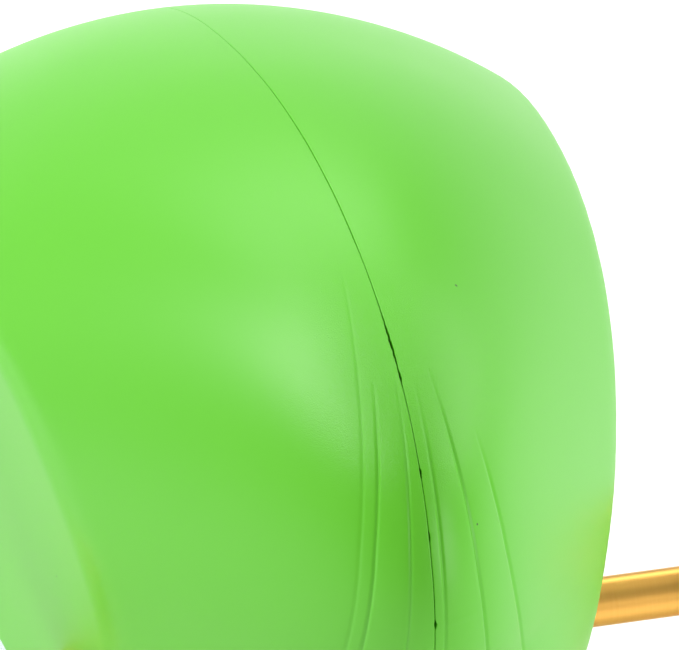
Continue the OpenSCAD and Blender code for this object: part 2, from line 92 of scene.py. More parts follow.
def add(tree: bpy.types.NodeTree, kind: str, settings: dict[str | int, object]) -> bpy.types.Node:
    """Adds one node with its settings and links.

    Args:
        tree: Node tree that gets the node.
        kind: Blender's name for the node type.
        settings: Input name or number, or property name, with its value or the socket linked to it.

    Returns:
        The new node.
    """
    made = tree.nodes.new(kind)
    for key, value in settings.items():
        if isinstance(key, str) and key not in made.inputs:
            setattr(made, key, value)
        elif isinstance(value, bpy.types.NodeSocket):
            tree.links.new(value, made.inputs[key])
        else:
            made.inputs[key].default_value = value
    return made


def start_material(name: str) -> tuple[bpy.types.Material, bpy.types.NodeTree, bpy.types.NodeSocket]:
    """Makes an empty node material.

    Args:
        name: Name of the finish.

    Returns:
        The material, its node tree and the socket with the object's own coordinates in metres.
    """
    material = bpy.data.materials.new(name)
    material.use_nodes = True
    tree = material.node_tree
    tree.nodes.clear()
    place = add(tree, "ShaderNodeTexCoord", {}).outputs["Object"]
    return material, tree, place


def close_material(tree: bpy.types.NodeTree, settings: dict[str | int, object]) -> None:
    """Ends a node tree with a Principled shader and its output.

    Args:
        tree: Node tree to end.
        settings: Values and links of the shader.
    """
    shader = add(tree, "ShaderNodeBsdfPrincipled", settings)
    add(tree, "ShaderNodeOutputMaterial", {"Surface": shader.outputs["BSDF"]})


@dataclass(frozen=True)
class Speck:
    """A dust speck or pit in the moulded skin."""

    at: Vector
    radius_mm: float


# ---- Finishes ----


@dataclass(frozen=True)
class SatinMouldedAbs:
    """Injection-moulded ABS in a polished then lightly grained mould: satin, with slow colour drift."""

    name: str = "satin_moulded_abs_green"
    light: str = "#62C620"
    deep: str = "#5CC21A"
    speck_tone: str = "#2C5A1C"
    ior: float = 1.53
    grain_mm: float = 0.07
    specks: tuple[Speck, ...] = ()

    def make(self) -> bpy.types.Material:
        """Makes the green skin, whose grain shows as fine sparkle in the soft highlight.

        Returns:
            The material.
        """
        material, tree, place = start_material(self.name)
        drift = add(tree, "ShaderNodeTexNoise", {"Vector": place, "Scale": per_metre(22), "Detail": 2.0})
        tone = add(
            tree,
            "ShaderNodeMix",
            {"data_type": "RGBA", 0: drift.outputs["Fac"], 6: linear(self.light), 7: linear(self.deep)},
        ).outputs[2]
        # The grain is spark erosion of about 0.03 mm, drawn coarser so that it shows.
        grain = add(
            tree,
            "ShaderNodeTexNoise",
            {"Vector": place, "Scale": per_metre(self.grain_mm), "Detail": 3.0, "Roughness": 0.65},
        )
        mask = add(tree, "ShaderNodeAttribute", {"attribute_name": "grain"}).outputs["Fac"]
        height = add(tree, "ShaderNodeMath", {"operation": "MULTIPLY", 0: grain.outputs["Fac"], 1: mask})
        bump = add(
            tree,
            "ShaderNodeBump",
            {"Strength": 1.0, "Distance": 0.05 * MM, "Height": height.outputs[0]},
        )
        for speck in self.specks:
            away = add(tree, "ShaderNodeVectorMath", {"operation": "DISTANCE", 0: place, 1: speck.at})
            spot = add(
                tree,
                "ShaderNodeMapRange",
                {
                    "Value": away.outputs["Value"],
                    "From Min": speck.radius_mm * 0.6 * MM,
                    "From Max": speck.radius_mm * MM,
                    "To Min": 1.0,
                    "To Max": 0.0,
                },
            )
            tone = add(
                tree,
                "ShaderNodeMix",
                {"data_type": "RGBA", 0: spot.outputs["Result"], 6: tone, 7: linear(self.speck_tone)},
            ).outputs[2]
        # The flat flanks were left rougher by the mould than the round skin.
        matt = add(tree, "ShaderNodeAttribute", {"attribute_name": "matt"}).outputs["Fac"]
        base = add(
            tree,
            "ShaderNodeMapRange",
            {"Value": drift.outputs["Fac"], "To Min": 0.36, "To Max": 0.42},
        )
        dull = add(
            tree,
            "ShaderNodeMath",
            {"operation": "MULTIPLY_ADD", 0: matt, 1: 0.14, 2: base.outputs["Result"]},
        )
        close_material(
            tree,
            {
                "Base Color": tone,
                "Roughness": dull.outputs[0],
                "IOR": self.ior,
                "Normal": bump.outputs["Normal"],
            },
        )
        return material


@dataclass(frozen=True)
class GoldAnodisedAluminium:
    """Turned aluminium, gold anodised: a satin metal with fine turning lines round it."""

    name: str = "gold_anodised_aluminium"
    tone: str = "#FBBB5A"
    pale: str = "#FFC466"
    line_mm: float = 0.12
    roughness: float = 0.34

    def make(self) -> bpy.types.Material:
        """Makes the gold metal, whose turning lines spread its highlight along the rod.

        Returns:
            The material.
        """
        material, tree, place = start_material(self.name)
        streak = add(
            tree,
            "ShaderNodeMapping",
            {"Vector": place, "Scale": (1.0, 0.06, 0.06)},
        )
        # Turning lines are about 0.05 mm apart, drawn coarser so that they show.
        lines = add(
            tree,
            "ShaderNodeTexNoise",
            {"Vector": streak.outputs["Vector"], "Scale": per_metre(self.line_mm), "Detail": 2.0},
        )
        tone = add(
            tree,
            "ShaderNodeMix",
            {"data_type": "RGBA", 0: lines.outputs["Fac"], 6: linear(self.tone), 7: linear(self.pale)},
        )
        rough = add(
            tree,
            "ShaderNodeMapRange",
            {
                "Value": lines.outputs["Fac"],
                "To Min": self.roughness - 0.04,
                "To Max": self.roughness + 0.06,
            },
        )
        bump = add(
            tree,
            "ShaderNodeBump",
            {"Strength": 0.5, "Distance": 0.002 * MM, "Height": lines.outputs["Fac"]},
        )
        close_material(
            tree,
            {
                "Base Color": tone.outputs[2],
                "Metallic": 1.0,
                "Roughness": rough.outputs["Result"],
                "Normal": bump.outputs["Normal"],
            },
        )
        return material


@dataclass(frozen=True)
class GrainedMoulding:
    """A moulded plastic or rubber with an eroded mould grain."""

    name: str
    tone: str
    other: str
    ior: float
    roughness: float
    grain_mm: float
    depth_mm: float

    def make(self) -> bpy.types.Material:
        """Makes the moulding, whose grain scatters its highlight.

        Returns:
            The material.
        """
        material, tree, place = start_material(self.name)
        grain = add(
            tree,
            "ShaderNodeTexVoronoi",
            {"Vector": place, "Scale": per_metre(self.grain_mm), "feature": "SMOOTH_F1"},
        )
        cloud = add(tree, "ShaderNodeTexNoise", {"Vector": place, "Scale": per_metre(9), "Detail": 4.0})
        tone = add(
            tree,
            "ShaderNodeMix",
            {"data_type": "RGBA", 0: cloud.outputs["Fac"], 6: linear(self.tone), 7: linear(self.other)},
        )
        rough = add(
            tree,
            "ShaderNodeMapRange",
            {
                "Value": cloud.outputs["Fac"],
                "To Min": self.roughness - 0.05,
                "To Max": self.roughness + 0.07,
            },
        )
        bump = add(
            tree,
            "ShaderNodeBump",
            {"Strength": 0.6, "Distance": self.depth_mm * MM, "Height": grain.outputs["Distance"]},
        )
        close_material(
            tree,
            {
                "Base Color": tone.outputs[2],
                "Roughness": rough.outputs["Result"],
                "IOR": self.ior,
                "Normal": bump.outputs["Normal"],
            },
        )
        return material


@dataclass(frozen=True)
class PlatedMetal:
    """A plated, turned or drawn metal with faint rubbed patches."""

    name: str
    tone: str
    rubbed: str
    roughness: float
    patch_mm: float

    def make(self) -> bpy.types.Material:
        """Makes the metal, whose patches keep its reflection from being even.

        Returns:
            The material.
        """
        material, tree, place = start_material(self.name)
        patch = add(
            tree,
            "ShaderNodeTexNoise",
            {"Vector": place, "Scale": per_metre(self.patch_mm), "Detail": 5.0},
        )
        tone = add(
            tree,
            "ShaderNodeMix",
            {"data_type": "RGBA", 0: patch.outputs["Fac"], 6: linear(self.tone), 7: linear(self.rubbed)},
        )
        rough = add(
            tree,
            "ShaderNodeMapRange",
            {
                "Value": patch.outputs["Fac"],
                "To Min": self.roughness - 0.06,
                "To Max": self.roughness + 0.08,
            },
        )
        close_material(
            tree,
            {
                "Base Color": tone.outputs[2],
                "Metallic": 1.0,
                "Roughness": rough.outputs["Result"],
            },
        )
        return material


@dataclass(frozen=True)
class ClearPolystyrene:
    """Clear injection-moulded polystyrene: glassy, with faint flow marks."""

    name: str = "clear_moulded_polystyrene"
    tone: str = "#E9F7FA"
    ior: float = 1.59
    flow_mm: float = 6.0

    def make(self) -> bpy.types.Material:
        """Makes the clear cup, whose flow marks bend what shows through it a little.

        Returns:
            The material.
        """
        material, tree, place = start_material(self.name)
        flow = add(tree, "ShaderNodeTexNoise", {"Vector": place, "Scale": per_metre(self.flow_mm)})
        bump = add(
            tree,
            "ShaderNodeBump",
            {"Strength": 0.3, "Distance": 0.05 * MM, "Height": flow.outputs["Fac"]},
        )
        rough = add(
            tree,
            "ShaderNodeMapRange",
            {"Value": flow.outputs["Fac"], "To Min": 0.03, "To Max": 0.07},
        )
        close_material(
            tree,
            {
                "Base Color": linear(self.tone),
                "Roughness": rough.outputs["Result"],
                "IOR": self.ior,
                "Transmission Weight": 1.0,
                "Normal": bump.outputs["Normal"],
            },
        )
        return material


@dataclass(frozen=True)
class WoundEnamelledCopper:
    """Enamelled copper wire wound in close turns: fine bands round the coil, dark where shade is painted into
    the grooves between turns.
    """

    name: str = "wound_enamelled_copper"
    crest: str = "#C4662A"
    # The dark groove colour is painted shade between the turns; the crest colour is the copper's own.
    groove_shade: str = "#5A2610"
    wire_mm: float = 0.3

    def make(self) -> bpy.types.Material:
        """Makes the winding, whose turns show as bands one wire apart, darkened by painted shade in the
        grooves between them.

        Returns:
            The material.
        """
        material, tree, place = start_material(self.name)
        turns = add(
            tree,
            "ShaderNodeTexWave",
            {"Vector": place, "bands_direction": "Z", "Scale": per_metre(self.wire_mm) / 20},
        )
        # The bands mix the copper's own colour with painted shade in the grooves between turns.
        tone = add(
            tree,
            "ShaderNodeMix",
            {"data_type": "RGBA", 0: turns.outputs["Fac"], 6: linear(self.groove_shade), 7: linear(self.crest)},
        )
        close_material(
            tree,
            {"Base Color": tone.outputs[2], "Metallic": 0.6, "Roughness": 0.32},
        )
        return material


@dataclass(frozen=True)
class Finishes:
    """The materials of the object, each made once."""

    green: bpy.types.Material
    gold: bpy.types.Material
    base: bpy.types.Material
    nylon: bpy.types.Material
    rubber: bpy.types.Material
    clear: bpy.types.Material
    nickel: bpy.types.Material
    cell: bpy.types.Material
    iron: bpy.types.Material
    board: bpy.types.Material
    copper: bpy.types.Material
    eye: bpy.types.Material
    card: bpy.types.Material

    @staticmethod
    def mix(specks: tuple[Speck, ...]) -> "Finishes":
        """Makes all the materials.

        Args:
            specks: Dust specks in the green skin.

        Returns:
            The set of finishes.
        """
        return Finishes(
            green=SatinMouldedAbs(specks=specks).make(),
            gold=GoldAnodisedAluminium().make(),
            # White ABS with a fine eroded grain: matt, a little warm.
            base=GrainedMoulding(
                "grained_abs_white", "#E6E4DE", "#DEDCD5", 1.53, 0.5, 0.35, 0.02
            ).make(),
            # Undyed nylon: milky and a little waxy.
            nylon=GrainedMoulding(
                "moulded_nylon_natural", "#E3DFD3", "#D9D4C6", 1.53, 0.42, 0.5, 0.006
            ).make(),
            # Black rubber feet: dull, with no clear highlight.
            rubber=GrainedMoulding("moulded_rubber_black", "#191919", "#222222", 1.52, 0.8, 0.3, 0.02).make(),
            clear=ClearPolystyrene().make(),
            nickel=PlatedMetal("nickel_plated_steel", "#C9C6BE", "#B7B3AA", 0.24, 1.6).make(),
            cell=PlatedMetal("drawn_steel_cell_case", "#B9BDC1", "#A4A8AD", 0.34, 3.0).make(),
            iron=PlatedMetal("turned_cast_iron", "#7D7F82", "#66686B", 0.45, 0.8).make(),
            # Solder resist over glass fibre: green lacquer with a faint weave.
            board=GrainedMoulding(
                "lacquered_circuit_board", "#1E6B39", "#185A2F", 1.5, 0.3, 0.6, 0.01
            ).make(),
            copper=WoundEnamelledCopper().make(),
            # Polished black buttons: a small sharp highlight.
            eye=GrainedMoulding("polished_abs_black", "#0B0B0D", "#101013", 1.53, 0.1, 0.8, 0.0005).make(),
            # Matt white card under the object.
            card=GrainedMoulding("matt_white_card", "#FEFEFE", "#FCFCFC", 1.45, 0.85, 0.8, 0.004).make(),
        )


# ---- Mesh building ----


def skin(rings: Rings, loop: bool = False) -> tuple[np.ndarray, list[tuple[int, ...]]]:
    """Joins rings of points into one closed skin.

    Args:
        rings: Point rings in order. Rings have the same number of points, or one point for a pole.
        loop: Whether the last ring joins the first. Otherwise, open ends are closed flat.

    Returns:
        The vertices and the faces.
    """
    starts = np.cumsum([0] + [len(r) for r in rings])
    faces: list[tuple[int, ...]] = []
    order = list(range(len(rings)))
    for a, b in zip(order, order[1:] + order[:1] if loop else order[1:]):
        count = max(len(rings[a]), len(rings[b]))
        i = np.arange(count)
        j = (i + 1) % count
        if len(rings[a]) == 1:
            faces += zip(starts[b] + i, starts[b] + j, np.full(count, starts[a]))
        elif len(rings[b]) == 1:
            faces += zip(starts[a] + j, starts[a] + i, np.full(count, starts[b]))
        else:
            faces += zip(starts[a] + j, starts[a] + i, starts[b] + i, starts[b] + j)
    if not loop:
        for k in (0, len(rings) - 1):
            if len(rings[k]) > 1:
                faces.append(tuple(range(starts[k], starts[k + 1])))
    return np.concatenate(rings), [tuple(int(v) for v in f) for f in faces]


def lathe(profile: list[tuple[float, float]], steps: int = 96) -> Rings:
    """Turns a profile round Z.

    Args:
        profile: Radius and height of each point, in millimetres.
        steps: Points on each ring.

    Returns:
        One ring for each profile point, or one point on the axis.
    """
    angle = np.arange(steps) * 2 * math.pi / steps
    rings = []
    for radius, height in profile:
        ring = np.stack([radius * np.cos(angle), radius * np.sin(angle), np.full(steps, height)], 1)
        rings.append(ring if radius > 0 else ring[:1])
    return rings


def rounded(corners: list[tuple[float, float]], radius: float, steps: int = 4) -> list[tuple[float, float]]:
    """Rounds the corners of a closed profile.

    Args:
        corners: Corner points in order.
        radius: Rounding radius in millimetres.
        steps: Pieces to each rounded corner.

    Returns:
        The rounded profile, which closes on itself.
    """
    made = []
    for before, at, after in zip(corners[-1:] + corners[:-1], corners, corners[1:] + corners[:1]):
        corner = np.array(at)
        back = np.array(before) - corner
        ahead = np.array(after) - corner
        reach = min(radius, np.linalg.norm(back) / 2.2, np.linalg.norm(ahead) / 2.2)
        start = corner + back / np.linalg.norm(back) * reach
        stop = corner + ahead / np.linalg.norm(ahead) * reach
        for u in np.linspace(0, 1, steps + 1):
            point = (1 - u) ** 2 * start + 2 * u * (1 - u) * corner + u**2 * stop
            made.append((float(point[0]), float(point[1])))
    return made


def along(axis: str, x: float, y: float, z: float, flip: bool = False) -> Matrix:
    """Gives the placement that lays a turned piece's Z along a world axis.

    Args:
        axis: "X" or "Z".
        x: Place on X in millimetres.
        y: Place on Y in millimetres.
        z: Place on Z in millimetres.
        flip: Whether the piece points the other way.

    Returns:
        The placement in metres.
    """
    turn = Matrix.Rotation(math.radians(90), 4, "Y") if axis == "X" else Matrix.Identity(4)
    if flip:
        turn = turn @ Matrix.Rotation(math.pi, 4, "X")
    return Matrix.Translation(Vector((x, y, z)) * MM) @ turn @ Matrix.Scale(MM, 4)


@dataclass
class Maker:
    """Makes objects and reports each one."""

    made: int = 0

    def mesh(
        self, name: str, parts: list[tuple[Rings, bool, Matrix]], crease: float = 32.0
    ) -> bpy.types.Object:
        """Makes a mesh object from skins.

        Args:
            name: Name of the object.
            parts: Rings, whether they loop, and their placement, for each skin.
            crease: Angle in degrees above which an edge stays sharp.

        Returns:
            The object, at the frame's origin.
        """
        data = bpy.data.meshes.new(name)
        built = bmesh.new()
        for rings, loop, place in parts:
            points, faces = skin(rings, loop)
            piece = bpy.data.meshes.new(name)
            piece.from_pydata(points.tolist(), [], faces)
            piece.transform(place)
            built.from_mesh(piece)
            bpy.data.meshes.remove(piece)
        bmesh.ops.recalc_face_normals(built, faces=built.faces)
        built.to_mesh(data)
        built.free()
        data.polygons.foreach_set("use_smooth", [True] * len(data.polygons))
        data.set_sharp_from_angle(angle=math.radians(crease))
        thing = bpy.data.objects.new(name, data)
        bpy.context.scene.collection.objects.link(thing)
        return thing

    def place(
        self, thing: bpy.types.Object, finish: bpy.types.Material, body: Body, node: str, slot: str
    ) -> bpy.types.Object:
        """Dresses an object and puts it in place of its CAD node.

        Args:
            thing: The object.
            finish: Its material.
            body: Body that it rides on.
            node: CAD node that it stands for.
            slot: Material slot of the record; not used.

        Returns:
            The same object.
        """
        thing.data.materials.clear()
        thing.data.materials.append(finish)
        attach(thing, body.value)
        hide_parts(node)
        self.made += 1
        LOG.info("%s: %d faces in %s", thing.name, len(thing.data.polygons), finish.name)
        return thing

    def dress(self, node: str, finish: bpy.types.Material) -> None:
        """Gives a carried-over CAD node its finish.

        Args:
            node: Name of the CAD node.
            finish: Its material.
        """
        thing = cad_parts[node]
        thing.data.materials.clear()
        thing.data.materials.append(finish)
        LOG.info("%s: CAD shape in %s", node, finish.name)


def carve(thing: bpy.types.Object, other: bpy.types.Object, operation: str) -> None:
    """Joins or cuts an object with another one, which is used up.

    Args:
        thing: Object that changes.
        other: Object that joins it or cuts it.
        operation: "UNION" or "DIFFERENCE".
    """
    step = thing.modifiers.new("carve", "BOOLEAN")
    step.operation = operation
    step.solver = "EXACT"
    step.object = other
    graph = bpy.context.evaluated_depsgraph_get()
    result = bpy.data.meshes.new_from_object(thing.evaluated_get(graph))
    thing.modifiers.clear()
    thing.data = result
    bpy.data.objects.remove(other)
    clean = bmesh.new()
    clean.from_mesh(result)
    bmesh.ops.remove_doubles(clean, verts=clean.verts, dist=0.002 * MM)
    bmesh.ops.dissolve_degenerate(clean, edges=clean.edges, dist=0.002 * MM)
    clean.to_mesh(result)
    clean.free()
    result.validate()
    result.polygons.foreach_set("use_smooth", [True] * len(result.polygons))
    result.set_sharp_from_angle(angle=math.radians(32))


# ---- Bird's body ----


@dataclass(frozen=True)
class Egg:
    """Outer shape of the body in its own frame, in millimetres, with +Y to the rump."""

    half_l: float = 48.0
    half_h: float = 20.9
    half_w: float = 27.4
    flank: float = 17.5
    taper: float = 0.475
    tail_l: float = 11.95
    chest_start: float = 20.0
    chest_blunt: float = 22.0
    chest_in: float = 0.42
    tail_angle: float = -48.0
    tail_spread: float = 28.0
    belly: float = 0.7
    belly_h: float = 10.7
    # Exponents of the outline: 2 is an ellipse, and more is squarer.
    top_e: float = 1.6
    side_e: float = 2.17
    front_e: float = 1.96
    # How the width falls with height, and how the flank leans with length and height.
    narrow_up: float = 0.05
    flank_back: float = 0.036
    flank_up: float = 0.204
    flank_soft: float = 0.9
    tail_power: int = 8

    def inset(self, wall: float) -> "Egg":
        """Gives the inner skin of a shell with that wall.

        Args:
            wall: Thickness of the wall in millimetres.

        Returns:
            The smaller egg.
        """
        return replace(
            self,
            half_l=self.half_l - wall,
            half_h=self.half_h - wall,
            half_w=self.half_w - wall,
            flank=self.flank - wall,
            tail_l=self.tail_l - wall / 2,
            chest_blunt=self.chest_blunt - wall / 2,
        )

    def points(self, s: np.ndarray, t: np.ndarray) -> np.ndarray:
        """Gives points of the left half.

        Args:
            s: Angles in degrees from 0 on the parting line to 90 on the flank.
            t: Angles in degrees round the side view, from 0 at the rump.

        Returns:
            The points, with a last axis of 3.
        """
        sr, tr = np.radians(s), np.radians(t)
        spread = np.maximum(np.cos(sr), 0)
        rho = spread ** (2 / self.top_e)
        y = rho * self.half_l * np.sign(np.cos(tr)) * np.abs(np.cos(tr)) ** (2 / self.side_e)
        z = rho * self.half_h * np.sign(np.sin(tr)) * np.abs(np.sin(tr)) ** (2 / self.side_e)
        low = np.maximum(self.belly_h - self.half_h - z, 0)
        z = z - self.belly * low**2 / self.belly_h
        wide = self.half_w * np.sin(sr) ** (2 / self.front_e)
        wide = wide * (1 - self.taper * y / self.half_l - self.narrow_up * z / self.half_h)
        flank = self.flank - self.flank_back * y + self.flank_up * z
        soft = self.flank_soft
        h = np.clip(0.5 + 0.5 * (flank - wide) / soft, 0, 1)
        x = flank * (1 - h) + wide * h - soft * h * (1 - h)
        u = np.clip((-y - self.chest_start) / (self.half_l - self.chest_start), 0, 1)
        x = x * (1 - self.chest_in * u * u * (3 - 2 * u))
        off = np.abs((t + 180) % 360 - 180 - self.tail_angle)
        bump = np.where(off < self.tail_spread, np.cos(np.radians(90 * off / self.tail_spread)) ** 2, 0)
        grow = self.tail_l * bump * spread**self.tail_power
        length = np.maximum(np.hypot(y, z), 0.01)
        past = np.minimum(y + self.chest_start, 0)
        blunt = np.where(
            past < 0, -self.chest_start - self.chest_blunt * (1 - np.exp(past / self.chest_blunt)), y
        )
        return np.stack([x, blunt + grow * y / length, z + grow * z / length], -1)


@dataclass(frozen=True)
class Feather:
    """A moulded feather edge: it runs down the rump from one angle to another."""

    top: float
    x_top: float
    low: float
    x_low: float
    notch: float
    valley: float = 0.05

    def depth(self, x: np.ndarray, t: np.ndarray) -> np.ndarray:
        """Gives how far the skin is sunk.

        Args:
            x: Distance from the parting plane in millimetres, + to the left.
            t: Angle round the side view in degrees.

        Returns:
            Depth in millimetres.
        """
        run = (self.top - t) / (self.top - self.low)
        line = self.x_top + (self.x_low - self.x_top) * run
        fade = np.clip(run / 0.22, 0, 1) * np.clip((1 - run) / 0.2, 0, 1)
        off = np.abs(x - line)
        notch = self.notch * np.exp(-((off / 0.085) ** 2)) * fade**0.5
        return notch + self.valley * np.exp(-off / 0.55) * fade


@dataclass(frozen=True)
class Nick:
    """A place where the parting line is torn wider, on one side or both."""

    angle: float
    spread: float
    left: float
    right: float


@dataclass
class BirdBody:
    """The egg-shaped body: two moulded shells that meet on a ragged parting line."""

    maker: Maker
    place: Matrix
    egg: Egg = Egg()
    wall: float = 1.6
    gap: float = 0.011
    edge: float = 0.055
    lip: float = 0.3
    # Where the grain shows most: its reach in X, its middle and reach in Z, and where it starts in Y.
    grain_x: float = 4.2
    grain_z: tuple[float, float] = (9.5, 5.5)
    grain_y: float = 20.0
    grain_least: float = 0.06
    # The flank counts as flat where its normal's X is past this, over this band.
    flat_from: float = 0.93
    flat_band: float = 0.04
    feathers: tuple[Feather, ...] = (
        Feather(43, 1.3, -32, 5.57, 0.035, 0.04),
        Feather(26, 1.5, -32, 4.9, 0.08, 0.055),
        Feather(27, 0.25, -32, 2.25, 0.07, 0.025),
        Feather(25, -0.72, -32, -0.55, 0.075, 0.025),
        Feather(27, -1.75, -32, -4.1, 0.08, 0.055),
        Feather(17, -3.9, -32, -7.1, 0.06, 0.055),
    )
    nicks: tuple[Nick, ...] = (
        Nick(31, 4.0, 0.055, 0.045),
        Nick(26, 0.7, 0.03, 0.07),
        Nick(12.4, 0.8, 0.02, 0.06),
        Nick(3.4, 0.6, 0.02, 0.05),
        Nick(-8.6, 0.5, 0.02, 0.12),
        Nick(118, 9.0, 0.03, 0.03),
    )

    def steps_round(self) -> np.ndarray:
        """Gives the angles round the side view, closest on the rump.

        Returns:
            The angles in degrees.
        """
        return np.concatenate(
            [
                np.arange(-50, -14, 0.9),
                np.arange(-14, 44, 0.25),
                np.arange(44, 125, 0.9),
                np.arange(125, 308, 3.2),
            ]
        )

    def steps_across(self) -> np.ndarray:
        """Gives the angles from the parting line to the flank, closest at the line."""
        far = 90 - 65 * (1 - np.linspace(0, 1, 62)[1:-1]) ** 1.3
        return np.concatenate([[0, 0.06, 0.14, 0.24, 0.36, 0.5], np.arange(0.7, 25.1, 0.21), far])

    def tear(self, t: np.ndarray, side: Side) -> np.ndarray:
        """Gives the gap between the parting plane and a shell's edge.

        Args:
            t: Angles round the side view in degrees.
            side: The shell's side.

        Returns:
            The gap in millimetres.
        """
        phase = 0.0 if side is Side.LEFT else 1.9
        waves = ((2.3, 0.2), (9.1, 0.25), (17.3, 0.3), (31.7, 0.3))
        ragged = sum(a * np.sin(np.radians(t * 57.3 * w / 3 + 50 * w) + phase) for w, a in waves)
        drift = 0.008 * np.sin(np.radians(t * 9.0)) + 0.005 * np.sin(np.radians(t * 31.0 + 40))
        gap = self.gap + side.value * drift
        gap = gap + 0.005 * ragged
        for nick in self.nicks:
            reach = nick.left if side is Side.LEFT else nick.right
            shape = np.exp(-(((t - nick.angle) / nick.spread) ** 2))
            gap = gap + reach * shape * (1 + 0.9 * ragged)
        return np.maximum(gap, 0.006)

    def shell(self, side: Side) -> bpy.types.Object:
        """Builds one shell: outer skin with feathers, torn edge, wall and inner skin.

        Args:
            side: The shell's side.

        Returns:
            The object.
        """
        t = self.steps_round()
        s = self.steps_across()
        grid = self.egg.points(s[:, None], t[None, :])
        gap = self.tear(t, side)
        grid[..., 0] += gap * np.clip(1 - grid[..., 0] / 3, 0, 1)
        normal = np.cross(np.gradient(grid, axis=0), np.roll(grid, -1, 1) - np.roll(grid, 1, 1))
        normal /= np.maximum(np.linalg.norm(normal, axis=-1, keepdims=True), 1e-9)
        normal *= np.sign((normal * (grid + [0.001, 0, 0])).sum(-1, keepdims=True))
        normal[0, :, 0] = 0
        signed = side.value * grid[..., 0]
        sunk = sum(f.depth(signed, t[None, :]) for f in self.feathers)
        over = np.clip(self.edge - (grid[..., 0] - gap), 0, self.edge)
        sunk = sunk + self.edge - np.sqrt(self.edge**2 - over**2)
        outer = grid - normal * sunk[..., None]
        lip = outer[0] - normal[0] * self.lip
        foot = outer[0] - normal[0] * self.wall
        within = self.egg.inset(self.wall + 0.1)
        inner = within.points(np.linspace(0, 86, 12)[:, None], t[None, :])
        inner[0, :, 0] = gap
        rings = [within.points(np.array([90.0]), np.array([0.0]))]
        rings += [row for row in inner[::-1]]
        rings += [foot, lip]
        rings += [row for row in outer]
        rings += [self.egg.points(np.array([90.0]), np.array([0.0]))]
        flip = np.array([side.value, 1, 1])
        rings = [ring * flip for ring in rings]
        name = f"body_shell_{side.name.lower()}_skin"
        thing = self.maker.mesh(name, [(rings, False, self.place)], 60)
        middle, reach = self.grain_z
        grain = [
            np.exp(-((r[:, 0] / self.grain_x) ** 2))
            * np.exp(-(((r[:, 2] - middle) / reach) ** 2))
            * (r[:, 1] > self.grain_y)
            for r in rings
        ]
        layer = thing.data.attributes.new("grain", "FLOAT", "POINT")
        least = self.grain_least
        layer.data.foreach_set("value", least + (1 - least) * np.concatenate(grain))
        flat = np.clip((np.abs(normal[..., 0]) - self.flat_from) / self.flat_band, 0, 1)
        rows = [np.zeros(len(r)) for r in rings[: -len(flat) - 1]] + list(flat) + [np.ones(1)]
        layer = thing.data.attributes.new("matt", "FLOAT", "POINT")
        layer.data.foreach_set("value", np.concatenate(rows))
        return thing

    def build(self, finish: bpy.types.Material) -> None:
        """Builds and places both shells.

        Args:
            finish: Finish of the skin.
        """
        for side in Side:
            thing = self.shell(side)
            self.maker.place(thing, finish, Body.BIRD, f"body_shell_{side.name.lower()}", "green_plastic")


# ---- Bird's head ----


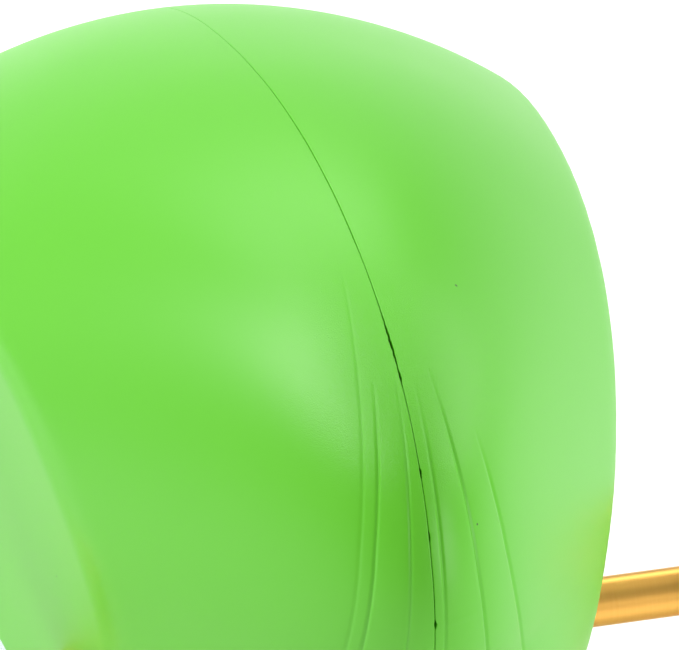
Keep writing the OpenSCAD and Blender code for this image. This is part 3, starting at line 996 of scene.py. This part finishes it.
@dataclass
class BirdHead:
    """The round head with its neck, collars, beak and eyes, in the neck's frame."""

    maker: Maker
    place: Matrix
    half_w: float = 11.5
    half_l: float = 14.5
    half_h: float = 12.5
    reach: float = 60.0
    neck_r: float = 3.5
    neck_start: float = -20.6
    neck_end: float = -56.3
    rear_collar: float = -34.7
    front_collar: float = -43.25
    collar_r: float = 6.1
    collar_l: float = 4.0
    beak_r: float = 4.2
    beak_l: float = 22.0
    beak_seat: float = 11.1
    beak_root: float = 5.2
    root_r: float = 2.6
    wall: float = 1.4
    eye_r: float = 2.1
    eye_depth: float = 3.0
    # The eye's dome: its radius, and how deep its centre lies.
    dome_r: float = 2.326
    dome_in: float = 1.7
    eye_x: float = 11.1
    eye_y: float = -4.5
    eye_z: float = 3.4

    def shell(self, side: Side) -> bpy.types.Object:
        """Builds one half of the head with its wall and parting edge.

        Args:
            side: The half's side.

        Returns:
            The object.
        """
        t = np.radians(np.arange(0, 360, 2.5))[None, :]

        def half(s: np.ndarray, wall: float) -> np.ndarray:
            """Gives rows of an ellipsoid half, inset by a wall.

            Args:
                s: Angles in degrees from 0 on the parting line to 90 at the side.
                wall: Inset in millimetres.

            Returns:
                The rows, with a last axis of 3.
            """
            s = np.radians(s)[:, None]
            x = (self.half_w - wall) * np.sin(s) + 0.03 * np.clip(1 - np.sin(s) * 9, 0, 1)
            y = (self.half_l - wall) * np.cos(s) * np.cos(t) - self.reach
            z = (self.half_h - wall) * np.cos(s) * np.sin(t)
            return np.stack([x + 0 * y, y, z], -1)

        rows = np.concatenate([[0.0, 0.4, 1.0], np.arange(2.5, 90, 2.5)])
        outer = half(rows, 0)
        outer[0] = half(rows[:1], 0.08)[0]
        inner = half(np.linspace(0, 84, 12), self.wall)
        poles = (half(np.array([90.0]), self.wall)[0, :1], half(np.array([90.0]), 0)[0, :1])
        rings = [poles[0]] + [r for r in inner[::-1]] + [r for r in outer] + [poles[1]]
        flip = np.array([side.value, 1, 1])
        name = f"head_shell_{side.name.lower()}_skin"
        thing = self.maker.mesh(name, [([r * flip for r in rings], False, self.place)], 60)
        layer = thing.data.attributes.new("grain", "FLOAT", "POINT")
        layer.data.foreach_set("value", [0.15] * len(thing.data.vertices))
        return thing

    def on_neck(self, y: float) -> Matrix:
        """Gives the placement of a turned piece on the neck, with its Z towards the head."""
        turn = Matrix.Rotation(math.radians(90), 4, "X")
        return self.place @ Matrix.Translation((0, y, 0)) @ turn

    def beak_rings(self) -> Rings:
        """Turns the beak: a hollow-sided cone with a round tip and a root for the head.

        Returns:
            The rings, from the root to the tip.
        """
        top = self.beak_seat - self.beak_root
        profile = [(0.0, top), (self.root_r, top), (self.root_r, 0.0), (self.beak_r - 0.25, 0.0)]
        for u in np.linspace(0.012, 0.999, 60):
            radius = self.beak_r * math.cos(math.pi / 2 * u) ** 0.75 * (1 - 0.25 * math.sin(math.pi * u))
            profile.append((radius, -self.beak_l * u))
        return lathe(profile + [(0.0, -self.beak_l)])

    def build(self, green: bpy.types.Material, gold: bpy.types.Material, black: bpy.types.Material) -> None:
        """Builds and places the pieces.

        Args:
            green: Finish of the head.
            gold: Finish of the neck, collars and beak.
            black: Finish of the eyes.
        """
        for side in Side:
            tag = side.name.lower()
            self.maker.place(self.shell(side), green, Body.BIRD, f"head_shell_{tag}", "green_plastic")
            dome = [(0.0, -self.eye_depth), (self.eye_r, -self.eye_depth)]
            dome += [
                (self.dome_r * math.cos(a), -self.dome_in + self.dome_r * math.sin(a))
                for a in np.linspace(0.44, 1.5, 14)
            ]
            dome.append((0.0, self.dome_r - self.dome_in))
            spot = (side.value * self.eye_x, self.eye_y - self.reach, self.eye_z)
            at = self.place @ Matrix.Translation(spot)
            at = at @ Matrix.Rotation(math.radians(90 * side.value), 4, "Y")
            thing = self.maker.mesh(f"eye_{tag}_button", [(lathe(dome, 48), False, at)])
            self.maker.place(thing, black, Body.BIRD, f"eye_{tag}", "eye_black")
        length = self.neck_start - self.neck_end
        bore = self.neck_r - 0.8
        tube = rounded([(bore, 0), (self.neck_r, 0), (self.neck_r, length), (bore, length)], 0.15)
        thing = self.maker.mesh("neck_pipe", [(lathe(tube), True, self.on_neck(self.neck_start))])
        self.maker.place(thing, gold, Body.BIRD, "neck_tube", "gold_metal")
        ring = rounded(
            [
                (self.neck_r + 0.06, 0),
                (self.collar_r, 0),
                (self.collar_r, self.collar_l),
                (self.neck_r + 0.06, self.collar_l),
            ],
            1.2,
            8,
        )
        for tag, y in (("rear", self.rear_collar), ("front", self.front_collar)):
            thing = self.maker.mesh(f"neck_collar_{tag}_ring", [(lathe(ring), True, self.on_neck(y))])
            self.maker.place(thing, gold, Body.BIRD, f"neck_collar_{tag}", "gold_metal")
        at = self.place @ Matrix.Translation((0, -self.reach, -self.beak_seat - 0.05))
        thing = self.maker.mesh("beak_spike", [(self.beak_rings(), False, at)])
        self.maker.place(thing, gold, Body.BIRD, "beak", "gold_metal")


# ---- Axle and legs ----


@dataclass
class SwingGear:
    """The axle with its caps, and the legs with their bushes."""

    maker: Maker
    axle_y: float = 24.0
    axle_z: float = 60.0
    axle_r: float = 1.5
    axle_half: float = 34.2
    leg_x: float = 28.6
    leg_r: float = 2.25
    leg_foot: float = 9.0
    head_half: float = 3.0
    head_r: float = 5.0
    bush_r: float = 2.6
    cap_start: float = 31.85
    cap_r: float = 2.9
    cap_skirt: float = 2.2
    flange: float = 1.1
    chamfer: float = 0.3

    def across(self, x: float, side: Side = Side.LEFT) -> Matrix:
        """Gives the placement on the axle's line, with Z pointing outwards."""
        return along("X", x, self.axle_y, self.axle_z, side is Side.RIGHT)

    def rod(self) -> bpy.types.Object:
        """Builds the axle, with chamfered ends.

        Returns:
            The object.
        """
        end = -self.axle_half
        cut = self.chamfer
        ends = [(0.0, end), (self.axle_r - cut, end), (self.axle_r, end + cut)]
        middle = [(self.axle_r, z) for z in np.linspace(-30, 30, 25)]
        profile = ends + middle + [(r, -z) for r, z in reversed(ends)]
        return self.maker.mesh("axle_rod", [(lathe(profile), False, self.across(0))])

    def cap(self, side: Side) -> bpy.types.Object:
        """Builds a domed cap that is pressed on an end of the axle.

        Args:
            side: The cap's side.

        Returns:
            The object.
        """
        high, radius = self.cap_skirt, self.cap_r
        dome = [(radius * math.cos(a), high + radius * math.sin(a)) for a in np.linspace(0, 1.5, 16)]
        bore = self.axle_r + 0.01
        profile = [(0.0, 2.4), (bore, 2.4), (bore, 0.15), (bore + 0.15, 0.0), (radius - 0.25, 0.0)]
        profile += [(radius, 0.25)] + dome + [(0.0, high + radius)]
        rings = lathe(profile)
        return self.maker.mesh(
            f"axle_cap_{side.name.lower()}_dome",
            [(rings, False, self.across(side.value * self.cap_start, side))],
        )

    def leg(self, side: Side) -> bpy.types.Object:
        """Builds a leg: an upright rod with a ring at its head.

        Args:
            side: The leg's side.

        Returns:
            The object.
        """
        low, high = self.leg_foot, self.axle_z - self.bush_r - 1.2
        cut = self.chamfer
        upright = [(0.0, low), (self.leg_r - cut, low), (self.leg_r, low + cut)]
        upright += [(self.leg_r, high), (0.0, high)]
        wide, half = self.bush_r + 0.03, self.head_half
        ring = rounded([(wide, -half), (self.head_r, -half), (self.head_r, half), (wide, half)], 0.6, 6)
        # Neck of the head, where the rod flares into the ring
        flare = [(0.0, high - 7.5)]
        flare += [(self.leg_r + 1.0 * u * u, high - 7.4 + 6.4 * u) for u in np.linspace(0, 1, 10)]
        flare += [(0.0, high - 1.0)]
        x = side.value * self.leg_x
        upright_at = along("Z", x, self.axle_y, 0)
        return self.maker.mesh(
            f"leg_{side.name.lower()}_post",
            [
                (lathe(upright, 64), False, upright_at),
                (lathe(flare, 64), False, upright_at),
                (lathe(ring), True, self.across(x)),
            ],
        )

    def bush(self, side: Side) -> bpy.types.Object:
        """Builds a bush with a flange on its inner end.

        Args:
            side: The bush's side.

        Returns:
            The object.
        """
        inner = -self.head_half
        hole = self.axle_r + 0.04
        corners = [
            (hole, self.head_half),
            (self.bush_r, self.head_half),
            (self.bush_r, inner - 0.05),
            (self.bush_r + self.flange, inner - 0.05),
            (self.bush_r + self.flange, inner - 0.75),
            (hole, inner - 0.75),
        ]
        at = self.across(side.value * self.leg_x, side)
        rings = lathe(rounded(corners, 0.18))
        return self.maker.mesh(f"bush_{side.name.lower()}_sleeve", [(rings, True, at)])

    def build(self, gold: bpy.types.Material, nylon: bpy.types.Material) -> None:
        """Builds and places the pieces.

        Args:
            gold: Finish of the axle, caps and legs.
            nylon: Finish of the bushes.
        """
        self.maker.place(self.rod(), gold, Body.BIRD, "axle", "gold_metal")
        for side in Side:
            tag = side.name.lower()
            self.maker.place(self.cap(side), gold, Body.BIRD, f"axle_cap_{tag}", "gold_metal")
            self.maker.place(self.leg(side), gold, Body.STAND, f"leg_{tag}", "gold_metal")
            self.maker.place(self.bush(side), nylon, Body.STAND, f"bush_{tag}", "nylon")


# ---- Base and cup ----


@dataclass
class Base:
    """The moulded base: a hollow block for the cells and coil, and a tray for the cup."""

    maker: Maker
    width: float = 72.0
    front: float = -10.5
    back: float = 62.0
    corner: float = 12.0
    cover_z: float = 4.05
    top_z: float = 20.0
    tray_z: float = 6.0
    tray_r: float = 24.0
    tray_y: float = -38.0
    wall: float = 2.2
    fillet: float = 1.4
    cup_y: float = -32.0
    recess_r: float = 14.4
    slot_y: float = 53.0
    leg_y: float = 24.0
    leg_x: float = 28.6
    # X, Y and height of each foot.
    feet: tuple[tuple[float, float, float], ...] = (
        (22, 46, 1.95),
        (-22, 46, 1.95),
        (15, -44, 4.0),
        (-15, -44, 4.0),
    )
    # X from and to, half width, underside and top of the slider's plate, peg and thumb.
    slider_boxes: tuple[tuple[float, float, float, float, float], ...] = (
        (-7.0, 4.0, 2.5, 15.85, 17.4),
        (-2.7, -0.3, 0.9, 13.4, 16.3),
        (-3.75, 0.75, 1.3, 16.8, 20.55),
    )
    rib_starts: tuple[float, ...] = (-3.6, -1.95, -0.3)
    rib_l: float = 0.9
    slot_half: tuple[float, float] = (3.7, 1.2)
    slot_r: float = 0.3

    def block_ring(self, inset: float, z: float) -> np.ndarray:
        """Gives the block's outline.

        Args:
            inset: Distance inside the outline in millimetres.
            z: Height of the ring in millimetres.

        Returns:
            The ring's points.
        """
        r = max(self.corner - inset, 0.5)
        points = []
        for k, (sx, sy) in enumerate(((1, 1), (-1, 1), (-1, -1), (1, -1))):
            cx = sx * (self.width / 2 - inset - r)
            cy = self.back - inset - r if sy > 0 else self.front + inset + r
            for a in np.radians(np.linspace(90 * k, 90 * k + 90, 17)):
                points.append((cx + r * math.cos(a), cy + r * math.sin(a), z))
        return np.array(points)

    def tray_ring(self, inset: float, z: float) -> np.ndarray:
        """Gives the tray's outline, which ends inside the block's front wall.

        Args:
            inset: Distance inside the outline in millimetres.
            z: Height of the ring in millimetres.

        Returns:
            The ring's points.
        """
        r = self.tray_r - inset
        angles = np.linspace(math.pi, 2 * math.pi, 65)
        arc = [(r * math.cos(a), self.tray_y + r * math.sin(a), z) for a in angles]
        end = self.front + 1.5
        return np.array([(-r, end, z)] + arc + [(r, end, z)])

    def rounded_stack(self, low: float, high: float, fillet: float) -> list[tuple[float, float]]:
        """Gives inset and height of each ring of a block with a rounded upper edge.

        Args:
            low: Height of the underside in millimetres.
            high: Height of the top in millimetres.
            fillet: Radius of the upper edge in millimetres.

        Returns:
            Inset and height of each ring.
        """
        angles = np.linspace(0, math.pi / 2, 8)
        edge = [(fillet * (1 - math.cos(a)), high - fillet + fillet * math.sin(a)) for a in angles]
        return [(0.25, low), (0.0, low + 0.25)] + edge + [(fillet + 0.25, high)]

    def cover(self) -> bpy.types.Object:
        """Builds the cover: block and tray in one, hollow, with its slot, sockets and cup seat.

        Returns:
            The object.
        """
        stack = self.rounded_stack(self.cover_z, self.top_z, self.fillet)
        outside = [self.block_ring(d, z) for d, z in stack]
        inside = [self.block_ring(self.wall, z) for z in (self.top_z - self.wall, self.cover_z)]
        ceiling = [self.block_ring(self.wall + 6, self.top_z - self.wall)]
        unit = Matrix.Scale(MM, 4)
        cover = self.maker.mesh("base_cover_moulding", [(ceiling + inside + outside, False, unit)])
        tray = [self.tray_ring(d, z) for d, z in self.rounded_stack(self.cover_z, self.tray_z, 0.7)]
        carve(cover, self.maker.mesh("tray", [(tray, False, unit)]), "UNION")
        r = self.recess_r
        seat = lathe([(0.0, 0.0), (r - 0.3, 0.0), (r, 0.3), (r, 4.0), (0.0, 4.0)])
        cutters = [(seat, False, along("Z", 0, self.cup_y, self.tray_z - 1.6))]
        for side in Side:
            hole = lathe([(0.0, 0.0), (2.3, 0.0), (2.3, 2.6), (2.9, 3.2), (0.0, 3.2)], 64)
            at = along("Z", side.value * self.leg_x, self.leg_y, self.top_z - 2.8)
            cutters.append((hole, False, at))
        slot = []
        half_x, half_y = self.slot_half
        for z, grow in ((-1.0, 0.0), (2.0, 0.0), (2.6, 0.5)):
            ring = []
            r = self.slot_r + grow
            for k, (sx, sy) in enumerate(((1, 1), (-1, 1), (-1, -1), (1, -1))):
                for a in np.radians(np.linspace(90 * k, 90 * k + 90, 7)):
                    ring.append((sx * half_x + r * math.cos(a), sy * half_y + r * math.sin(a), z))
            slot.append(np.array(ring))
        cutters.append((slot, False, along("Z", 0, self.slot_y, self.top_z - 2.3)))
        carve(cover, self.maker.mesh("cutters", cutters), "DIFFERENCE")
        return cover

    def foot_pads(self) -> bpy.types.Object:
        """Builds the four rubber feet, with rounded rims and a moulded ring under each.

        Returns:
            The object.
        """
        parts = []
        for x, y, height in self.feet:
            profile = [(0.0, 0.25), (2.6, 0.25), (3.0, 0.0), (4.6, 0.0), (5.0, 0.4)]
            profile += [(5.0, height), (0.0, height)]
            parts.append((lathe(profile, 64), False, along("Z", x, y, 0)))
        return self.maker.mesh("rubber_feet_pads", parts)

    def slider(self) -> bpy.types.Object:
        """Builds the switch's slider with three grip ribs on its thumb.

        Returns:
            The object.
        """
        parts = []
        ribs = tuple((x, x + self.rib_l, 1.2, 20.5, 20.98) for x in self.rib_starts)
        for x0, x1, half, z0, z1 in self.slider_boxes + ribs:
            rings = []
            for z, grow in ((z0, -0.15), (z0 + 0.15, 0.0), (z1 - 0.15, 0.0), (z1, -0.15)):
                a, b, c = x0 - grow, x1 + grow, half + grow
                rings.append(np.array([(a, -c, z), (b, -c, z), (b, c, z), (a, c, z)]))
            parts.append((rings, False, along("Z", 0, self.slot_y, 0)))
        return self.maker.mesh("switch_slider_thumb", parts)

    def build(self, look: Finishes) -> None:
        """Builds and places the pieces, and dresses the CAD shapes inside and underneath.

        Args:
            look: The finishes.
        """
        self.maker.place(self.cover(), look.base, Body.STAND, "base_cover", "base_plastic")
        self.maker.place(self.foot_pads(), look.rubber, Body.STAND, "rubber_feet", "rubber")
        self.maker.place(self.slider(), look.nylon, Body.SLIDER, "switch_slider", "nylon")
        for node, finish in (
            ("base_floor", look.base),
            ("battery_door", look.base),
            ("battery_cells", look.cell),
            ("battery_contacts", look.nickel),
            ("circuit_board", look.board),
            ("coil_bobbin", look.nylon),
            ("coil_winding", look.copper),
            ("switch_case", look.base),
            ("base_screws", look.nickel),
            ("leg_screws", look.nickel),
        ):
            self.maker.dress(node, finish)


@dataclass
class Cup:
    """The clear cup in the tray's seat."""

    maker: Maker
    y: float = -32.0
    z: float = 4.45
    rim_r: float = 20.0
    foot_r: float = 14.0
    height: float = 17.0
    wall: float = 1.6

    def side(self, rim: float, foot: float, z: float) -> list[tuple[float, float]]:
        """Gives the swelling side from the foot to the rim.

        Args:
            rim: Radius at the rim in millimetres.
            foot: Radius at the foot in millimetres.
            z: Height of the foot over the cup's underside.

        Returns:
            Radius and height of each point.
        """
        top = self.height - 0.5
        return [
            (foot + (rim - foot) * math.sin(math.pi / 2 * u), z + 2 + (top - z - 2) * u)
            for u in np.linspace(0, 1, 24)
        ]

    def build(self, clear: bpy.types.Material) -> None:
        """Builds and places the cup, with a rounded rim and a foot ring.

        Args:
            clear: Finish of the cup.
        """
        outer = self.side(self.rim_r, self.foot_r, 0)
        inner = self.side(self.rim_r - self.wall, self.foot_r - self.wall, 2)
        middle = self.rim_r - self.wall / 2
        lip = [
            (middle + self.wall / 2 * math.cos(a), self.height - 0.5 + 0.5 * math.sin(a))
            for a in np.linspace(0.2, math.pi - 0.2, 9)
        ]
        under = [(0.0, 0.4), (self.foot_r - 2.2, 0.4), (self.foot_r - 1.9, 0.0), (self.foot_r - 0.4, 0.0)]
        profile = under + [(self.foot_r, 0.4)] + outer + lip + inner[::-1]
        profile += [(self.foot_r - self.wall, 2.7), (self.foot_r - self.wall - 0.7, 2.05), (0.0, 2.0)]
        thing = self.maker.mesh("cup_bowl", [(lathe(profile, 128), False, along("Z", 0, self.y, self.z))])
        self.maker.place(thing, clear, Body.CUP, "cup", "cup_clear")


@dataclass
class InnerWorks:
    """CAD shapes inside the bird."""

    maker: Maker
    nodes: dict[str, str] = field(
        default_factory=lambda: {
            "inner_frame": "nylon",
            "head_core": "nylon",
            "ballast_left": "iron",
            "ballast_right": "iron",
            "ballast_bolt": "nickel",
            "drive_magnet": "nickel",
        }
    )

    def build(self, look: Finishes) -> None:
        """Dresses each shape in its finish."""
        for node, finish in self.nodes.items():
            self.maker.dress(node, getattr(look, finish))


# ---- Studio ----


@dataclass
class Studio:
    """A white floor, soft light and the camera."""

    aim: Vector
    azimuth: float = 166.84
    elevation: float = 33.94
    distance: float = 0.5462
    lens: float = 477.2
    world: float = 0.38
    left: tuple[float, float, float] = (0.3, 0.4, 3.9)
    right: tuple[float, float, float] = (0.4, 0.5, 2.3)
    top: tuple[float, float, float] = (0.6, 0.6, 0.3)
    back: tuple[float, float, float] = (0.8, 0.4, 2.5)
    fill: tuple[float, float, float] = (0.45, 0.35, 1.7)

    def light(self, name: str, at: Vector, toward: Vector, box: tuple[float, float, float]) -> None:
        """Adds one softbox.

        Args:
            name: Name of the light.
            at: Its place in metres.
            toward: The point that it faces.
            box: Its width and height in metres and its power in watts.
        """
        data = bpy.data.lights.new(name, "AREA")
        data.shape = "RECTANGLE"
        data.size, data.size_y, data.energy = box
        lamp = bpy.data.objects.new(name, data)
        lamp.location = at
        lamp.rotation_euler = (toward - at).to_track_quat("-Z", "Y").to_euler()
        bpy.context.scene.collection.objects.link(lamp)

    def build(self, card: bpy.types.Material) -> None:
        """Builds the floor, the lights, the white surroundings and the camera.

        Args:
            card: Finish of the floor.
        """
        scene = bpy.context.scene
        data = bpy.data.meshes.new("floor")
        rows = [(x, y, 0.0) for y in (-4, 0, 4) for x in (-4, 0, 4)]
        data.from_pydata(rows, [], [(0, 1, 4, 3), (1, 2, 5, 4), (3, 4, 7, 6), (4, 5, 8, 7)])
        floor = bpy.data.objects.new("floor", data)
        floor.data.materials.append(card)
        scene.collection.objects.link(floor)
        middle = Vector((0, 0.02, 0.06))
        self.light("softbox_left", Vector((0.5, -0.16, 0.53)), middle, self.left)
        self.light("softbox_right", Vector((-0.56, -0.1, 0.42)), middle, self.right)
        self.light("softbox_fill", Vector((-0.5, 0.62, 0.22)), middle, self.fill)
        self.light("softbox_top", Vector((0.0, -0.1, 0.8)), middle, self.top)
        self.light("floor_light", Vector((0.0, -0.6, 0.5)), Vector((0.0, -0.45, 0.0)), self.back)
        world = bpy.data.worlds.new("white_surroundings")
        world.use_nodes = True
        world.node_tree.nodes["Background"].inputs["Color"].default_value = (1, 1, 1, 1)
        world.node_tree.nodes["Background"].inputs["Strength"].default_value = self.world
        scene.world = world
        scene.view_settings.view_transform = "Standard"
        lens = bpy.data.cameras.new("camera")
        lens.lens = self.lens
        lens.sensor_width = 36.0
        lens.clip_start, lens.clip_end = 0.01, 50.0
        camera = bpy.data.objects.new("camera", lens)
        a, e = math.radians(self.azimuth), math.radians(self.elevation)
        away = Vector((math.sin(a) * math.cos(e), -math.cos(a) * math.cos(e), math.sin(e)))
        camera.location = self.aim + away * self.distance
        camera.rotation_mode = "QUATERNION"
        camera.rotation_quaternion = (-away).to_track_quat("-Z", "Y")
        scene.collection.objects.link(camera)
        scene.camera = camera


@dataclass
class DrinkingBird:
    """The whole object, with the bird's frames and its sub-assemblies."""

    maker: Maker = field(default_factory=Maker)
    tilt: float = 21.0
    middle: Vector = field(default_factory=lambda: Vector((0.0, 12.031, 71.365)))
    neck_drop: float = 4.0
    # The camera aims past the body's middle by these millimetres to its own right and up.
    view_right: Vector = field(default_factory=lambda: Vector((-0.97378, 0.22749, 0.0)))
    view_up: Vector = field(default_factory=lambda: Vector((-0.127, -0.54363, 0.82967)))
    past_right: float = 5.063
    past_up: float = 3.223

    def aim(self) -> Vector:
        """Gives the point in metres that the camera aims at."""
        return (self.middle + self.past_right * self.view_right + self.past_up * self.view_up) * MM

    def body_frame(self) -> Matrix:
        """Gives the body's frame, which takes millimetres."""
        turn = Matrix.Rotation(math.radians(self.tilt), 4, "X")
        return Matrix.Translation(self.middle * MM) @ turn @ Matrix.Scale(MM, 4)

    def specks(self) -> tuple[Speck, ...]:
        """Gives the dust specks of the skin, placed in the body's frame.

        Returns:
            The specks, in metres.
        """
        spots = (
            ((15.6, 14.0, -6.9), 0.09),
            ((-5.27, 35.7, 12.7), 0.11),
            ((-3.11, 46.5, 1.54), 0.1),
            ((1.3, 47.7, -1.9), 0.09),
        )
        return tuple(Speck(self.body_frame() @ Vector(at), size) for at, size in spots)

    def build(self) -> Finishes:
        """Builds every sub-assembly in order.

        Returns:
            The finishes.
        """
        look = Finishes.mix(self.specks())
        body = self.body_frame()
        neck = body @ Matrix.Translation((0, 0, -self.neck_drop))
        BirdBody(self.maker, body).build(look.green)
        BirdHead(self.maker, neck).build(look.green, look.gold, look.eye)
        SwingGear(self.maker).build(look.gold, look.nylon)
        Base(self.maker).build(look)
        Cup(self.maker).build(look.clear)
        InnerWorks(self.maker).build(look)
        return look


def main() -> None:
    logging.basicConfig(level=logging.INFO, format="%(message)s", stream=sys.stdout)
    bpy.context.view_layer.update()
    bird = DrinkingBird()
    look = bird.build()
    Studio(bird.aim()).build(look.card)
    LOG.info("%d new pieces", bird.maker.made)


if __name__ == "__main__":
    main()
